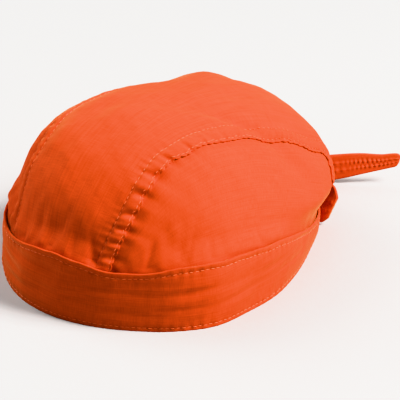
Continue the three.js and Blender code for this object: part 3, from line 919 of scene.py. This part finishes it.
def weave_group():
    """Plain weave with uneven threads: its height, and how the dye's tone varies with it"""
    group = bpy.data.node_groups.new("plain weave", "ShaderNodeTree")
    group_socket(group, "Cloth place", "NodeSocketVector", "INPUT")
    group_socket(group, "Threads per mm", "NodeSocketFloat", "INPUT", 2.2)
    group_socket(group, "Slub", "NodeSocketFloat", "INPUT", 0.6)
    group_socket(group, "Height", "NodeSocketFloat", "OUTPUT")
    group_socket(group, "Tone", "NodeSocketFloat", "OUTPUT")
    nodes, links = group.nodes, group.links
    given = nodes.new("NodeGroupInput")
    result = nodes.new("NodeGroupOutput")
    parts = nodes.new("ShaderNodeSeparateXYZ")
    links.new(given.outputs["Cloth place"], parts.inputs[0])

    def thread(axis):
        count = given.outputs["Threads per mm"]
        place = math_node(nodes, links, "MULTIPLY", parts.outputs[axis], count)
        return math_node(nodes, links, "SINE", math_node(nodes, links, "MULTIPLY", place, math.pi))

    over = math_node(nodes, links, "MULTIPLY", thread(0), thread(1))

    def streaks(scale_x, scale_y):
        stretch = nodes.new("ShaderNodeMapping")
        stretch.inputs["Scale"].default_value = (scale_x, scale_y, 1)
        links.new(given.outputs["Cloth place"], stretch.inputs["Vector"])
        noise = nodes.new("ShaderNodeTexNoise")
        noise.inputs["Scale"].default_value = 1
        noise.inputs["Detail"].default_value = 3
        links.new(stretch.outputs[0], noise.inputs["Vector"])
        return noise.outputs["Fac"]

    slubs = math_node(nodes, links, "ADD", streaks(0.04, 1.3), streaks(1.9, 0.2))
    slubs = math_node(nodes, links, "MULTIPLY", slubs, given.outputs["Slub"])
    height = math_node(nodes, links, "MULTIPLY_ADD", over, 0.35, slubs)
    links.new(height, result.inputs["Height"])
    links.new(slubs, result.inputs["Tone"])
    return group


def new_material(name, surface):
    """A material and its shader, with the sockets that are the same all over set"""
    material = bpy.data.materials.new(name)
    material.use_nodes = True
    shader = material.node_tree.nodes["Principled BSDF"]
    for socket, value in surface.items():
        shader.inputs[socket].default_value = value
    return material, shader


def dye_between(nodes, links, tones, share, shader):
    """Colours the shader between a darker and a lighter tone"""
    dye = nodes.new("ShaderNodeMix")
    dye.data_type = "RGBA"
    dye.inputs["A"].default_value, dye.inputs["B"].default_value = tones
    links.new(share, dye.inputs["Factor"])
    links.new(dye.outputs["Result"], shader.inputs["Base Color"])


def cloth_material(name, tones, weave):
    """Matt cotton, woven along each piece's own flat cloth, with a soft sheen"""
    material, shader = new_material(name, {
        "Roughness": 0.78, "Specular IOR Level": 0.08, "Sheen Weight": 0.25,
        "Sheen Roughness": 0.35, "Sheen Tint": (1, 0.7, 0.3, 1),
    })
    nodes, links = material.node_tree.nodes, material.node_tree.links
    place = nodes.new("ShaderNodeAttribute")
    place.attribute_name = CLOTH_PLACE
    cloth = nodes.new("ShaderNodeGroup")
    cloth.node_tree = weave
    links.new(place.outputs["Vector"], cloth.inputs["Cloth place"])
    tone = nodes.new("ShaderNodeMapRange")
    tone.inputs["From Min"].default_value = 0.4
    tone.inputs["From Max"].default_value = 0.8
    links.new(cloth.outputs["Tone"], tone.inputs["Value"])
    dye_between(nodes, links, tones, tone.outputs[0], shader)
    bump = nodes.new("ShaderNodeBump")
    bump.inputs["Strength"].default_value = 0.35
    bump.inputs["Distance"].default_value = 0.25 * MM
    links.new(cloth.outputs["Height"], bump.inputs["Height"])
    links.new(bump.outputs[0], shader.inputs["Normal"])
    return material


def thread_material():
    material, shader = new_material("orange thread", {"Roughness": 0.5, "Sheen Weight": 0.2})
    nodes, links = material.node_tree.nodes, material.node_tree.links
    place = nodes.new("ShaderNodeTexCoord")
    twist = nodes.new("ShaderNodeTexNoise")
    twist.inputs["Scale"].default_value = 900
    links.new(place.outputs["Object"], twist.inputs["Vector"])
    dye_between(nodes, links, THREAD_TONES, twist.outputs["Fac"], shader)
    return material


def rim_middle_in_frame():
    """The rim's middle, where the CAD band's box lies round this script's own plain band"""
    around = np.linspace(-BAND_END, BAND_END, 81)
    lows, highs = [], []
    for height, puff in ((0, 0), (0.5, 0.8), (1, 1)):
        points = rim_point(around, BAND_PUFF * puff, height * band_ledge(around))
        lows.append(points.min(0))
        highs.append(points.max(0))
    points = rim_point(around, BAND_PUFF / 2, (band_ledge(around) + band_top(around)) / 2)
    lows.append(points.min(0))
    highs.append(points.max(0))
    own = (np.min(lows, 0) + np.max(highs, 0)) / 2
    low, high = (np.array(corner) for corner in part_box("brow_band"))
    middle = (low + high) / 2 - own
    middle[2] = low[2]
    return middle


def add_camera():
    back = Vector((math.sin(VIEW_AROUND) * math.cos(VIEW_UP),
                   -math.cos(VIEW_AROUND) * math.cos(VIEW_UP), math.sin(VIEW_UP)))
    right = Vector((math.cos(VIEW_AROUND), math.sin(VIEW_AROUND), 0))
    middle = Vector(rim_middle)
    aim = middle + right * AIM_RIGHT + back.cross(right) * AIM_UP
    camera = bpy.data.objects.new("photo_camera", bpy.data.cameras.new("photo_camera"))
    camera.location = middle + back * VIEW_DISTANCE
    camera.rotation_euler = (aim - camera.location).to_track_quat("-Z", "Y").to_euler()
    camera.data.lens = VIEW_LENS
    camera.data.sensor_width = VIEW_FILM
    bpy.context.scene.collection.objects.link(camera)
    bpy.context.scene.camera = camera


def area_light(name, place, size, power):
    light = bpy.data.lights.new(name, "AREA")
    light.energy = power
    light.size = size
    light.color = LAMP_WHITE
    lamp = bpy.data.objects.new(name, light)
    lamp.location = place
    lamp.rotation_euler = (-Vector(place)).to_track_quat("-Z", "Y").to_euler()
    bpy.context.scene.collection.objects.link(lamp)


def add_studio():
    mesh = bmesh.new()
    bmesh.ops.create_grid(mesh, x_segments=1, y_segments=1, size=FLOOR_HALF_WIDTH)
    data = bpy.data.meshes.new("floor")
    mesh.to_mesh(data)
    mesh.free()
    floor = bpy.data.objects.new("floor", data)
    bpy.context.scene.collection.objects.link(floor)
    paper, _ = new_material("pale paper", {"Base Color": FLOOR_TONE, "Roughness": 0.9})
    data.materials.append(paper)
    world = bpy.data.worlds.new("studio")
    world.use_nodes = True
    sky = world.node_tree.nodes["Background"]
    sky.inputs["Color"].default_value = (*LAMP_WHITE, 1)
    sky.inputs["Strength"].default_value = WORLD_LIGHT
    bpy.context.scene.world = world
    for lamp in LAMPS:
        area_light(*lamp)
    bpy.context.scene.view_settings.view_transform = "Khronos PBR Neutral"
    bpy.context.scene.view_settings.gamma = VIEW_GAMMA


rim_middle = rim_middle_in_frame()
add_camera()

plain_weave = weave_group()
orange_cotton = cloth_material("orange cotton", COTTON_TONES, plain_weave)
# The ties' cotton is the same cloth painted a little lighter, a painted lift of light for their
# shade
tie_cotton_painted_lighter = cloth_material("orange cotton painted lighter for the ties", TIE_TONES_PAINTED_LIGHTER, plain_weave)
orange_thread = thread_material()

centre = centre_panel()
left = side_panel("side_panel_left", 1)
right = side_panel("side_panel_right", -1)
brow_band()
tie_knot()

# How the straps' cloth puckers: the strap's length, the stitch rows' places across from -1 to
# 1, the puckers' pitch and depth there, and the long folds' depth by the share along. Pitch
# and depths are in millimetres.
TIE_PUCKERS = {"length": 50 * MM, "pitch": 5, "rows": (-0.75, 0.75), "depth": 0.1,
               "folds": lambda u: 0.35 * smooth(u, 0.4, 1)}
END_PUCKERS = {"length": 70 * MM, "pitch": 3, "rows": (-0.28, 0.36), "depth": 0.5,
               "folds": lambda u: 0.15 * (1 - u)}
strap("tie_left", 130, tie_line(1), TIE_PUCKERS)
strap("tie_right", 130, tie_line(-1), TIE_PUCKERS)
strap("tie_end_upper", 240, end_line(UPPER_END), END_PUCKERS)
strap("tie_end_lower", 200, end_line(LOWER_END), END_PUCKERS)

finish_piece("seam_stitches_left", seam_stitches(1), orange_thread)
finish_piece("seam_stitches_right", seam_stitches(-1), orange_thread)
finish_piece("band_stitches", band_stitches(), orange_thread)
tie_mesh = bmesh.new()
strap_stitches(tie_mesh, end_line(UPPER_END), END_PUCKERS["rows"], (0.12, 0.95))
strap_stitches(tie_mesh, end_line(LOWER_END), END_PUCKERS["rows"], (0.15, 0.95))
strap_stitches(tie_mesh, tie_line(1), TIE_PUCKERS["rows"], (0.03, 0.7))
strap_stitches(tie_mesh, tie_line(-1), TIE_PUCKERS["rows"], (0.03, 0.7))
finish_piece("tie_stitches", tie_mesh, orange_thread)

add_studio()
